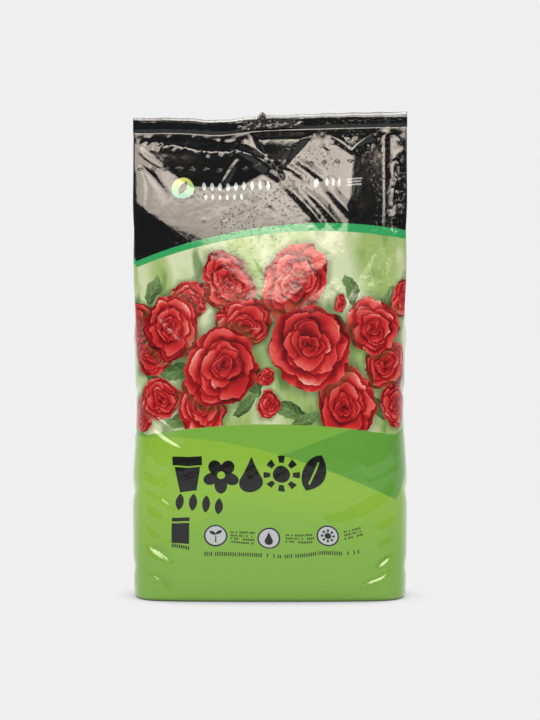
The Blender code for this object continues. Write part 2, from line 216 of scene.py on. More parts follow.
def front_folds() -> list:
    """The folds, dents and facets of the front, from the weld down to the base."""
    left_pane = (
        (-101, 353, 26), (-82, 331, 28), (-60, 315, 30), (-20, 316, 26), (9, 331, 7), (-24, 350, 8),
    )
    low_left = ((-108, 308, 9), (-108, 170, 90), (-10, 170, 60), (-14, 232, 16), (-60, 270, 14))
    low_right = ((-14, 232, 60), (-10, 170, 95), (96, 170, 30), (66, 276, 14), (44, 254, 16))
    return [
        # Slack film under the weld on the left, with a pull down each side of it
        Facet(left_pane, 5.6),
        *creases(
            (-107, 344, -76, 305, 4.5, -1.1, 0.02, 3.5), (-37, 314, -24, 336, 3.4, 1, 0.02, 2),
            (-105, 352, -80, 329, 1.7, 0.75, -0.08, 2.4), (-106, 346, -86, 325, 1.5, 0.6, -0.08, 2),
        ),
        # Broad panes and swells under them, which turn the film to and from the light
        Facet(low_left, -2.4),
        Facet(low_right, -1.7),
        Dent((-102, 286), (62, 58), 4.6),
        Dent((94, 286), (56, 58), 4.4),
        # Small dark triangle under the middle of the weld, and the pulls that run from it
        Facet(((-17, 356.5, 4), (2, 326, 26), (9, 326, 6), (38, 356.5, 4)), 5.2),
        *creases(
            (-22, 343.5, 11, 319, 4, 1.6, 0.02, 4.5), (-14, 333, 9, 317, 2.6, 0.9, 0, 5),
            (10, 331, 30, 317, 3.2, 1.1, 0, 4), (18, 334, 43, 316, 3.4, 1.3, 0.02, 5),
            (8, 318, 40, 283, 4.2, 1.7, 0.03, 5), (22, 314, 52, 283, 4.4, 1.6, 0.03, 5),
            (40, 316, 62, 290, 4, 1.2, 0, 6),
        ),
        # The crossed pulls at the right end of the weld and the flat pane beside them
        *creases(
            (40, 357, 63, 338, 3.4, 1.5, 0, 4), (60, 338, 88, 360, 7, 1.9, 0.02, 3),
            (48, 357, 64, 345, 2, 0.9),
        ),
        Facet(((52, 218, 60), (92, 205, 6), (91.5, 364, 9), (63, 341, 26)), -4.4),
        # Crumpled film beyond the crease
        *creases(
            (92, 352, 106, 338, 2.5, 1.2), (92, 332, 107, 343, 2.5, 1.2),
            (91, 322, 107, 306, 3, 1.3), (92, 298, 107, 322, 2.6, -1.2),
            (91, 300, 107, 283, 3, 1.2), (90, 280, 107, 268, 2.6, 1),
        ),
        # Faint pulls across the picture
        Dent((-50, 205), (18, 60), -0.8, 8),
        Dent((56, 200), (20, 70), -0.5, -6),
        *creases((-12, 260, -2, 242, 1.6, 0.3), (-22, 201, 2, 203, 1.5, 0.3)),
        *rounds(
            (-90, 215, -66, 190, 2.5, 0.5), (60, 205, 84, 176, 2.5, 0.5),
            (84, 240, 94, 180, 4, 0.8, 0.03),
        ),
        # The waist, where the fill ends and the slack film creases against it
        *creases(
            (-104, 149, -64, 116, 2.6, -2.2, -0.06, 4), (-104, 156, -70, 126, 3.2, 1.5, -0.05),
            (-104, 137, -84, 128, 2.4, 1.1, 0.05), (-105, 166, -88, 150, 3, -1.1),
            (104, 160, 86, 120, 3, -1.8, 0.06), (105, 150, 92, 112, 2.4, 1.5, 0.04),
            (104, 138, 84, 142, 2.4, 1), (103, 128, 88, 104, 2.6, -1.2),
        ),
        # Pulls that fan out of the lower right corner
        *rounds(
            (104, 122, 70, 98, 6, 2.2, 0.04), (103, 104, 40, 64, 7, -1.9, 0.1, 10),
            (104, 90, 42, 58, 8, 2, 0.08), (104, 114, 72, 92, 3, -1.4, 0.06),
            (105, 76, 76, 58, 4.5, -1.8, 0.06), (105, 66, 80, 52, 4, 1.7, 0.03),
            (104, 57, 80, 36, 5, 2.6, 0.05), (104, 26, 84, 12, 4, 1.8, 0.05),
            (60, 24, 34, 10, 5, 0.9, 0.1, 9),
        ),
        *creases(
            (105, 49, 78, 27, 2, -5.2, 0.03, 3.6), (98, 36, 67, 12, 3.2, 2.8, 0.16, 4),
            (92, 27, 72, 16, 2.2, -1.6, 0.12),
        ),
        # Pulls of the lower left corner
        *rounds(
            (-104, 120, -78, 98, 5, 2.4, 0.05), (-104, 106, -84, 86, 4, -2.4, 0.05),
            (-104, 96, -78, 80, 4.5, 2.6, 0.08), (-104, 70, -80, 57, 4, 2.4, 0.08),
            (-104, 62, -82, 50, 3, -2.4, 0.08), (-105, 38, -78, 25, 4, 2.4, 0.08),
        ),
        *creases(
            (-104, 86, -70, 70, 3.4, -2.4, 0.12, 5), (-105, 46, -72, 30, 2.6, -3.4, 0.08, 4.5),
            (-105, 27, -72, 8, 2.4, -3.4, 0.1, 4), (-90, 15, -82, 9, 2, 1.6),
            (-104, 15, -91, 4, 2.4, -2.2, 0.05),
        ),
    ]


def back_folds() -> list:
    """The folds and dents of the back, like the front's in kind but not in place."""
    return [
        Dent((40, 338), (36, 15), 2.2, 5, 3),
        Dent((-50, 330), (26, 18), 1.6, -8, 3),
        Dent((-30, 215), (26, 60), -1.4, -10),
        Dent((46, 225), (24, 66), -1.2, 8),
        *creases(
            (-98, 352, -60, 300, 4, 1.6, 0.03, 6), (-34, 344, -6, 305, 3.6, 1.4, 0.04),
            (-22, 348, 16, 318, 3.2, -1.1, 0.02), (6, 338, 44, 286, 3.6, 1.5, -0.03),
            (98, 350, 62, 306, 4.2, 1.6, 0.03), (84, 352, 52, 322, 3, -1, 0.02),
            (-90, 355, -92, 282, 3.4, -1.3, 0.01), (-104, 152, -54, 122, 3.4, -1.8, 0.05),
            (104, 144, 64, 116, 3.4, -1.8, -0.05), (-104, 40, -70, 20, 3.2, -1.4, 0.05),
            (104, 36, 74, 16, 3.2, -1.4, -0.05),
        ),
        *rounds((-104, 84, -52, 54, 5, -1.6, 0.08), (104, 88, 58, 66, 4.4, -1.4, -0.08)),
    ]


def gusset_folds() -> list:
    """The folds of a side gusset, from its front edge (-40) to its back edge (40)."""
    return [
        *creases((-40, 160, 24, 140, 5, -2.2, 0.06), (-24, 120, 40, 138, 5, -1.8, 0.05)),
        *rounds(
            (-40, 86, 16, 72, 6, -1.4, 0.04), (4, 44, 40, 54, 5, -1.4, 0.04),
            (-30, 26, 20, 14, 5, -1, 0.04), (-20, 205, 10, 180, 5, 1.2, 0.04),
        ),
    ]


@dataclass(frozen=True)
class Gathers:
    """A band of small, seeded crumples, as film takes where it is bunched together."""

    low: Pair
    high: Pair
    count: int
    length: Pair
    width: Pair
    height: float
    lean: float
    spread: float
    seed: int

    def folds(self) -> list[Fold]:
        """Draws the crumples.

        Returns:
            Short folds that lie about the band's own direction, in degrees from level.
        """
        draw = np.random.default_rng(self.seed)
        made = []
        for _ in range(self.count):
            x = draw.uniform(self.low[0], self.high[0])
            z = draw.uniform(self.low[1], self.high[1])
            turn = math.radians(self.lean + draw.normal(0.0, self.spread))
            reach = draw.uniform(*self.length) / 2.0
            dx, dz = math.cos(turn) * reach, math.sin(turn) * reach
            height = self.height * draw.uniform(0.4, 1.0) * draw.choice((-1.0, 1.0))
            width, bow = draw.uniform(*self.width), draw.uniform(-0.08, 0.08)
            made.append(Fold((x - dx, z - dz), (x + dx, z + dz), width, height, bow))
        return made


def front_gathers() -> list[Gathers]:
    """The front's bands of crumples: along the weld, at the right edge and at the waist."""
    return [
        Gathers((-103, 346), (-60, 355), 46, (5, 13), (1.2, 2.2), 0.75, 62, 24, 3),
        Gathers((-52, 342), (-20, 355), 44, (4, 11), (1.1, 2.0), 0.85, 58, 34, 5),
        Gathers((-60, 350), (60, 356), 40, (5, 14), (1.2, 2.2), 0.45, 80, 26, 7),
        Gathers((40, 338), (90, 357), 34, (5, 12), (1.2, 2.2), 0.6, -40, 30, 11),
        Gathers((92, 270), (107, 356), 60, (4, 13), (1.2, 2.4), 0.8, 30, 55, 13),
        Gathers((-22, 357.6), (24, 363), 26, (3, 9), (1.0, 1.6), 0.5, 12, 30, 17),
        Gathers((-104, 132), (-92, 166), 14, (5, 10), (1.4, 2.4), 0.7, -30, 30, 19),
        Gathers((90, 110), (104, 168), 26, (5, 14), (1.4, 2.4), 0.8, 60, 34, 23),
        Gathers((0, 284), (58, 330), 22, (6, 15), (1.2, 2.0), 0.4, -42, 14, 29),
        Gathers((-60, 280), (40, 312), 20, (3, 8), (1.2, 2.2), 0.22, -20, 40, 31),
        Gathers((-104, 2), (104, 12), 40, (4, 12), (1.4, 2.6), 0.35, 70, 30, 37),
    ]


@dataclass
class FilmBag:
    """The printed film: a gusseted tube, filled, welded and creased.

    The stations give, from the base (0) to the weld (1), the half width, the depth in the middle
    of a panel, the depth at its edge and the tuck of the gusset, as shares of the sizes.
    """

    low: Vector
    high: Vector
    body_height: float = 353.5
    seal_height: float = 11.0
    edge_slant: float = 4.6
    edge_dip: float = 2.6
    dip_across: float = -38.0
    dip_width: float = 22.0
    nib_height: float = 4.0
    nib_width: float = 5.0
    nib_across: float = -6.0
    filled_depth: float = 100.0
    seal_thickness: float = 1.2
    seal_wave: float = 2.2
    gusset_tuck: float = 26.0
    gusset_drawn: float = 40.0
    base_roll: float = 4.0
    least_depth: float = 0.18
    front_columns: int = 190
    back_columns: int = 90
    gusset_columns: int = 20
    base_rows: int = 12
    seal_rows: int = 9
    span_rows: tuple[int, ...] = (7, 80, 100, 78)
    stations: tuple[tuple[float, ...], ...] = (
        (0, 0.992, 0.83, 0.72, 0), (0.045, 0.998, 0.9, 0.77, 0), (0.14, 1.002, 0.97, 0.8, 0),
        (0.255, 1.002, 1, 0.8, 0), (0.335, 0.992, 0.976, 0.77, 0.03),
        (0.41, 0.988, 0.924, 0.72, 0.06), (0.47, 0.996, 0.872, 0.672, 0.06),
        (0.565, 1.004, 0.77, 0.584, 0.12), (0.625, 1.004, 0.699, 0.52, 0.22),
        (0.675, 1.002, 0.62, 0.468, 0.34), (0.737, 1, 0.52, 0.402, 0.5),
        (0.785, 0.998, 0.436, 0.372, 0.66), (0.844, 0.998, 0.33, 0.3, 0.86),
        (0.9, 0.998, 0.23, 0.212, 1), (0.948, 0.999, 0.144, 0.132, 0.96),
        (0.976, 1, 0.088, 0.08, 0.7), (1, 1, 0, 0, 0),
    )
    folds: dict[Side, list] = field(default_factory=dict)

    def __post_init__(self) -> None:
        """Gathers the folds of every wall."""
        crumples = [fold for band in front_gathers() for fold in band.folds()]
        self.folds[Side.FRONT] = front_folds() + crumples
        self.folds[Side.BACK] = back_folds()
        self.folds[Side.RIGHT] = self.folds[Side.LEFT] = gusset_folds()

    @property
    def half_width(self) -> float:
        """Half the width of the flat tube, from the frame."""
        return (self.high.x - self.low.x) / MM / 2.0

    def row_heights(self) -> Array:
        """Heights of the rows from the base to the weld, closer where the film is creased."""
        stops = (0.0, 6.0, 120.0, 264.0, self.body_height)
        spans = zip(stops, stops[1:], self.span_rows)
        rows = [np.linspace(start, stop, count + 1)[1:] for start, stop, count in spans]
        return np.concatenate([[0.0], *rows])

    def shares(self, up: Array) -> Array:
        """Reads the four shape shares from a smooth curve through the stations.

        Args:
            up: Heights as a share of the body's height.

        Returns:
            One row of four shares for each height.
        """
        table = np.array(self.stations)
        at, values = table[:, 0], table[:, 1:]
        gaps = np.diff(at)[:, None]
        slopes = np.diff(values, axis=0) / gaps
        between = (slopes[:-1] * gaps[1:] + slopes[1:] * gaps[:-1]) / (gaps[1:] + gaps[:-1])
        tangents = np.vstack((slopes[:1], between, slopes[-1:]))
        k = np.clip(np.searchsorted(at, up, side="right") - 1, 0, len(at) - 2)
        gap = gaps[k]
        t = ((np.minimum(up, 1.0) - at[k]) / gap[:, 0])[:, None]
        return (
            values[k] * (2 * t**3 - 3 * t**2 + 1)
            + tangents[k] * gap * (t**3 - 2 * t**2 + t)
            + values[k + 1] * (3 * t**2 - 2 * t**3)
            + tangents[k + 1] * gap * (t**3 - t**2)
        )

    def lift(self, side: Side, across: Array, up: Array) -> Array:
        """Adds up the folds of one wall.

        Args:
            side: The wall.
            across: Places across it, in millimetres from its middle.
            up: Heights above the base, in millimetres.

        Returns:
            The lift of each point, outwards.
        """
        drawn_up = up + (DRAWN_WELD - self.body_height) * smooth((up - 230.0) / 60.0)
        return sum(fold.lift(across, drawn_up) for fold in self.folds[side])

    def place(self, side: Side, place: Array, z: Array) -> tuple[Array, Array]:
        """Puts points of one wall where the filled bag holds them.

        A panel's section is a superellipse that grows square towards the weld, where the tube lies
        flat. The panel ends at a share of its half width, and the gusset goes on from there.

        Args:
            side: The wall.
            place: -1 to 1, from left to right on a panel and from front to back on a gusset.
            z: Heights above the base, in millimetres.

        Returns:
            The points' x and y, in millimetres.
        """
        up = np.minimum(z / self.body_height, 1.0)
        width, middle, edge, tuck = self.shares(up).T
        folded = smooth((up - 0.50) / 0.36)
        panel_share = 0.90 + 0.095 * folded
        squareness = 14.0 * 10.0 ** (2.0 * folded)
        roll = np.clip(self.base_roll - z, 0.0, None)
        inset = self.base_roll - np.sqrt(self.base_roll**2 - roll**2)
        half_width = width * self.half_width - 0.5 * inset
        half_seal = self.seal_thickness / 2.0 * (0.35 + 0.65 * smooth((z - self.body_height) / 2.0))
        middle = np.maximum(middle * self.filled_depth / 2.0, 0.0) + half_seal - inset
        edge = np.maximum(edge * self.filled_depth / 2.0, 0.0) + half_seal - inset
        calm = smooth(z / 4.0)
        if side in (Side.FRONT, Side.BACK):
            across = place * panel_share
            rounding = np.sqrt(np.maximum(1.0 - np.abs(across) ** squareness, 0.0))
            depth = rounding * (edge + (middle - edge) * (1.0 - np.abs(across) ** 2.2))
            sign = -1.0 if side is Side.FRONT else 1.0
            lift = self.lift(side, half_width * across * -sign, z)
            below_weld = lift * smooth((self.body_height - z) / 9.0)
            lift = np.where(z > self.body_height, np.clip(lift, -0.35, 0.9), below_weld)
            hold = 1.0 - np.abs(place) ** 12
            depth = np.maximum(depth + calm * hold * lift, self.least_depth)
            x, y = half_width * across, sign * depth
        else:
            turned = place * np.sqrt(np.maximum(1.0 - panel_share**squareness, 0.0))
            reach = (1.0 - turned**2) ** (1.0 / squareness)
            depth = turned * (edge + (middle - edge) * (1.0 - reach**2.2))
            slack = 1.0 - smooth((up - 0.955) / 0.045)
            lift = self.lift(side, place * self.gusset_drawn, z)
            tucked = tuck * self.gusset_tuck * (1.0 - np.abs(place)) ** 1.15
            out = half_width * reach - tucked + calm * slack * lift * (1.0 - place**4)
            x, y = (out if side is Side.RIGHT else -out), depth
        return x, y + self.wave(x) * smooth((up - 0.80) / 0.20)

    def wave(self, x: Array) -> Array:
        """The wave of the welded film seen from above, as shifts towards the back."""
        phase = x / self.half_width
        return self.seal_wave * (np.sin(4.1 * phase + 0.6) + 0.35 * np.sin(9.7 * phase))

    def seal_reach(self, x: Array) -> Array:
        """Height of the welded band: a little ragged along the cut, with one torn nib.

        Args:
            x: Places across, in millimetres.

        Returns:
            Heights above the weld, in millimetres.
        """
        ragged = 0.22 * np.sin(x * 0.31 + 1.0) + 0.12 * np.sin(x * 1.3)
        nib = np.maximum(1.0 - np.abs(x - self.nib_across) / (self.nib_width / 2.0), 0.0)
        return self.seal_height + ragged + self.nib_height * nib**0.8

    def slant(self, x: Array, up: Array) -> Array:
        """How far the leaning weld lifts the film on the right and lowers it on the left.

        Args:
            x: Places across, in millimetres.
            up: Heights on the flat web, in millimetres.

        Returns:
            The shifts, in millimetres.
        """
        lean = 2.0 * smooth((x / self.half_width + 1.0) / 2.0) - 1.0
        dip = self.edge_dip * np.exp(-(((x - self.dip_across) / self.dip_width) ** 2))
        return (self.edge_slant / 2.0 * lean - dip) * smooth((up / self.body_height - 0.72) / 0.28)

    def build(self) -> bpy.types.Object:
        """Wraps the flat web of film into the filled bag.

        Returns:
            The film as one mesh object, with the web's own coordinates as its UV map.
        """
        columns = self.front_columns + self.back_columns + 2 * self.gusset_columns
        heights = self.row_heights()
        rows = self.base_rows + len(heights) - 1 + self.seal_rows
        web = bmesh.new()
        bmesh.ops.create_grid(web, x_segments=columns, y_segments=rows, size=1.0)
        mesh = bpy.data.meshes.new("film")
        web.to_mesh(mesh)
        web.free()
        row, column = np.divmod(np.arange(len(mesh.vertices)), columns + 1)
        points, web_u, web_v = self.wrap(column, row, heights)
        mesh.vertices.foreach_set("co", (points * MM).ravel())
        self.write_uv(mesh, web_u, web_v)
        self.close(mesh)
        bag = bpy.data.objects.new("film_bag", mesh)
        bpy.context.scene.collection.objects.link(bag)
        return bag

    def wrap(
        self, column: Array, row: Array, heights: Array
    ) -> tuple[Array, Array, Array]:
        """Moves the web's points round the bag.

        Args:
            column: Each point's column, from the front's left edge round the tube.
            row: Each point's row, from the bottom weld up.
            heights: The rows' heights from the base to the top weld.

        Returns:
            The points, and their places on the web across and up, all in millimetres.
        """
        last = len(heights) - 1
        z = heights[np.clip(row - self.base_rows, 0, last)]
        under = np.clip(1.0 - row / self.base_rows, 0.0, 1.0)
        band = np.clip((row - self.base_rows - last) / self.seal_rows, 0.0, 1.0)
        web_v = z + band * self.seal_height
        panel, gusset = 2.0 * self.half_width, GUSSET_WEB * self.half_width
        counts = (self.front_columns, self.gusset_columns, self.back_columns, self.gusset_columns)
        widths = (panel, gusset, panel, gusset)
        points, web_u = np.zeros((len(column), 3)), np.zeros(len(column))
        first, web_start = 0, -self.half_width
        for side, count, width in zip(Side, counts, widths):
            mask = (column >= first) & (column <= first + count)
            share = (column[mask] - first) / count
            web_u[mask] = web_start + share * width
            first, web_start = first + count, web_start + width
            place = 2.0 * share - 1.0
            if side in (Side.BACK, Side.LEFT):
                place = -place
            x, y = self.place(side, place, web_v[mask])
            height = z[mask] + band[mask] * self.seal_reach(x) + self.slant(x, web_v[mask])
            cut = smooth((band[mask] - 0.90) / 0.10)
            weld = np.clip(x, -BASE_WELD * self.half_width, BASE_WELD * self.half_width)
            flat = under[mask]
            x = x + (weld - x) * flat
            y = y * (1.0 - flat) * (1.0 - cut) + cut * self.wave(x)
            points[mask] = np.column_stack((x, y, height))
        return points, web_u, web_v - under * 0.5 * self.filled_depth

    def write_uv(self, mesh: bpy.types.Mesh, web_u: Array, web_v: Array) -> None:
        """Writes the web's coordinates as the UV map, in metres.

        Args:
            mesh: The film.
            web_u: Each point's place round the web, in millimetres.
            web_v: Each point's height on the web, in millimetres.
        """
        corner = np.empty(len(mesh.loops), dtype=np.int32)
        mesh.loops.foreach_get("vertex_index", corner)
        uv = np.column_stack((web_u[corner], web_v[corner])) * MM
        mesh.uv_layers.new(name="web").data.foreach_set("uv", uv.astype(np.float32).ravel())

    def close(self, mesh: bpy.types.Mesh) -> None:
        """Joins the web's side edges. Its layers only meet at the base and along the cut edge.

        Args:
            mesh: The wrapped film.
        """
        shell = bmesh.new()
        shell.from_mesh(mesh)
        bmesh.ops.remove_doubles(shell, verts=shell.verts, dist=0.004 * MM)
        bmesh.ops.dissolve_degenerate(shell, edges=shell.edges, dist=0.002 * MM)
        bmesh.ops.recalc_face_normals(shell, faces=shell.faces)
        open_edges = sum(not edge.is_manifold for edge in shell.edges)
        log.info("film: %d faces, %d open edges", len(shell.faces), open_edges)
        shell.to_mesh(mesh)
        shell.free()
        mesh.shade_smooth()

    def dress(self, bag: bpy.types.Object) -> None:
        """Gives the film its printed finish."""
        finish = PrintedFilm(self.half_width, self.body_height, self.body_height + self.seal_height)
        bag.data.materials.append(finish.material())


def operator(operation: str, swapped: bool = False) -> Callable[..., "Signal"]:
    """A method of Signal that adds a Math node, with its operands swapped for a reflected form."""

    def method(self: "Signal", *others: "Signal | float") -> "Signal":
        """The output of the Math node."""
        values = (*others, self) if swapped else (self, *others)
        return self.graph.node("ShaderNodeMath", {"operation": operation}, dict(enumerate(values)))

    return method


class Signal:
    """A shader socket that takes part in arithmetic, with numbers and with other signals."""

    __add__, __radd__ = operator("ADD"), operator("ADD", True)
    __sub__, __rsub__ = operator("SUBTRACT"), operator("SUBTRACT", True)
    __mul__, __rmul__ = operator("MULTIPLY"), operator("MULTIPLY", True)
    __truediv__, __rtruediv__ = operator("DIVIDE"), operator("DIVIDE", True)
    __pow__, __rpow__ = operator("POWER"), operator("POWER", True)
    __abs__, root, wrap = operator("ABSOLUTE"), operator("SQRT"), operator("WRAP")
    least, most = operator("MINIMUM"), operator("MAXIMUM")
    below, above = operator("LESS_THAN"), operator("GREATER_THAN")
    sine, cosine, angle = operator("SINE"), operator("COSINE"), operator("ARCTAN2")
    whole, fraction = operator("FLOOR"), operator("FRACT")

    def __init__(self, graph: "Graph", socket: bpy.types.NodeSocket) -> None:
        """Keeps the socket and the graph it is in."""
        self.graph, self.socket = graph, socket

    def rise(self, start: float, stop: float, low: float = 0.0, high: float = 1.0) -> "Signal":
        """A smooth step, from low at start to high at stop."""
        values = {0: self, 1: start, 2: stop, 3: low, 4: high}
        return self.graph.node("ShaderNodeMapRange", {"interpolation_type": "SMOOTHSTEP"}, values)

    def mix(self, first: object, second: object) -> "Signal":
        """Mixes two colours: the first where this signal is 0 and the second where it is 1."""
        values = {0: self, 6: rgba(first), 7: rgba(second)}
        return self.graph.node("ShaderNodeMix", {"data_type": "RGBA"}, values, 2)

    def edge(self, under: object, over: object, blur: float) -> "Signal":
        """Lays a colour over another where this distance is above 0."""
        return self.rise(-blur, blur).mix(under, over)

    def choose(self, first: "Signal", second: "Signal") -> "Signal":
        """Mixes two vectors: the first where this signal is 0 and the second where it is 1."""
        values = {0: self, 4: first, 5: second}
        return self.graph.node("ShaderNodeMix", {"data_type": "VECTOR"}, values, 1)

    def noise(self, scale: float, detail: float = 2.0, output: int = 0) -> "Signal":
        """A noise over places in millimetres, with features about 1 / scale apart."""
        values = {"Vector": self, "Scale": scale, "Detail": detail, "Roughness": 0.55}
        return self.graph.node("ShaderNodeTexNoise", {}, values, output)

    def vector(self, operation: str, *others: object, output: int = 0) -> "Signal":
        """Adds a Vector Math node to a vector. Its output 0 is a vector and 1 is a number."""
        values = dict(enumerate((self, *others)))
        return self.graph.node("ShaderNodeVectorMath", {"operation": operation}, values, output)

    def length(self) -> "Signal":
        """The length of a vector."""
        return self.vector("LENGTH", output=1)

    def part(self, axis: int) -> "Signal":
        """One part of a vector, as a dot product with its axis."""
        return self.vector("DOT_PRODUCT", tuple(float(axis == i) for i in range(3)), output=1)

    def polar(self) -> tuple["Signal", "Signal"]:
        """The angle and the length of a flat vector."""
        return self.part(1).angle(self.part(0)), self.length()

    def beside(self, other: "Signal") -> "Signal":
        """A vector with this signal across and another up."""
        return self.graph.node("ShaderNodeCombineXYZ", {}, {0: self, 1: other})

    def waver(self, over: "Signal", scale: float, detail: float, reach: Triple) -> "Signal":
        """Shifts places by a noise over some places, by up to half a reach either way."""
        shift = over.noise(scale, detail, 1).vector("SUBTRACT", (0.5, 0.5, 0.5))
        return shift.vector("MULTIPLY_ADD", reach, self)

    def onto(
        self, spot: Pair, size: Pair = (1.0, 1.0), turn: float = 0.0, mark: float = 0.0
    ) -> "Signal":
        """Places as seen from a spot of the web, in units of a size.

        Args:
            spot: The spot, in millimetres.
            size: The units across and up, in millimetres.
            turn: How far the units are turned, anticlockwise in degrees.
            mark: A number that the third part carries along.

        Returns:
            The places from the spot.
        """
        place = self
        if turn:
            values = {"Vector": self, "Center": (*spot, 0.0), "Angle": math.radians(-turn)}
            place = self.graph.node("ShaderNodeVectorRotate", {"rotation_type": "Z_AXIS"}, values)
        scale = (1.0 / size[0], 1.0 / size[1], 1.0)
        return place.vector("MULTIPLY_ADD", scale, (-spot[0] * scale[0], -spot[1] * scale[1], mark))


class Graph:
    """The node tree of a material or a world, written as expressions."""

    def __init__(self, owner: bpy.types.Material | bpy.types.World) -> None:
        """Starts with an empty tree."""
        owner.use_nodes = True
        self.tree = owner.node_tree
        self.tree.nodes.clear()

    def node(
        self, kind: str, settings: dict | None = None, values: dict | None = None, output: int = 0
    ) -> Signal:
        """Adds a node.

        Args:
            kind: The node's type.
            settings: Its own properties, which are set first.
            values: Numbers, colours or signals for its sockets, by index or name.
            output: Which output to hand on.

        Returns:
            The output as a signal.
        """
        made = self.tree.nodes.new(kind)
        for name, value in (settings or {}).items():
            setattr(made, name, value)
        for name, value in (values or {}).items():
            socket = made.inputs[name]
            if isinstance(value, Signal):
                self.tree.links.new(value.socket, socket)
            else:
                socket.default_value = value
        return Signal(self, made.outputs[output] if made.outputs else None)


def rgba(colour: object) -> object:
    """A colour with full alpha, or a signal as it is."""
    return (*colour, 1.0) if isinstance(colour, tuple) and len(colour) == 3 else colour


def from_screen(*shown: int) -> Triple:
    """Turns a display colour, red, green and blue of 0 to 255, into a linear one."""
    shares = [part / 255.0 for part in shown]
    return tuple(s / 12.92 if s <= 0.04045 else ((s + 0.055) / 1.055) ** 2.4 for s in shares)


@dataclass(frozen=True)
class Inks:
    """The print's colours, and a darker lime that paints shade near the base."""

    black: Triple = from_screen(17, 18, 19)
    white: Triple = from_screen(200, 202, 201)
    selvage: Triple = from_screen(168, 171, 170)
    torn: Triple = from_screen(70, 48, 44)
    band: Triple = from_screen(52, 170, 98)
    lime: Triple = from_screen(149, 196, 64)
    # A darker lime: painted shade for the film near the base
    lime_painted_shade: Triple = from_screen(132, 180, 62)
    green: Triple = from_screen(130, 184, 72)
    green_deep: Triple = from_screen(102, 166, 62)
    type_black: Triple = from_screen(22, 24, 22)
    teal: Triple = from_screen(122, 192, 168)
    mint: Triple = from_screen(150, 206, 138)
    lemon: Triple = from_screen(226, 224, 106)


@dataclass(frozen=True)
class Bloom:
    """One bloom of the printed picture: its middle, its radius, and how it is turned and seen."""

    across: float
    up: float
    radius: float
    turn: float
    squash: float


@dataclass(frozen=True)
class Leaf:
    """One leaf of the printed picture: its middle, half its length, half its width and its turn."""

    across: float
    up: float
    length: float
    width: float
    turn: float


@dataclass(frozen=True)
class Ring:
    """One ring of a bloom's petals: its radius, how many there are, and how light they are."""

    radius: float
    petals: int
    phase: float
    tone: float
    drift: float


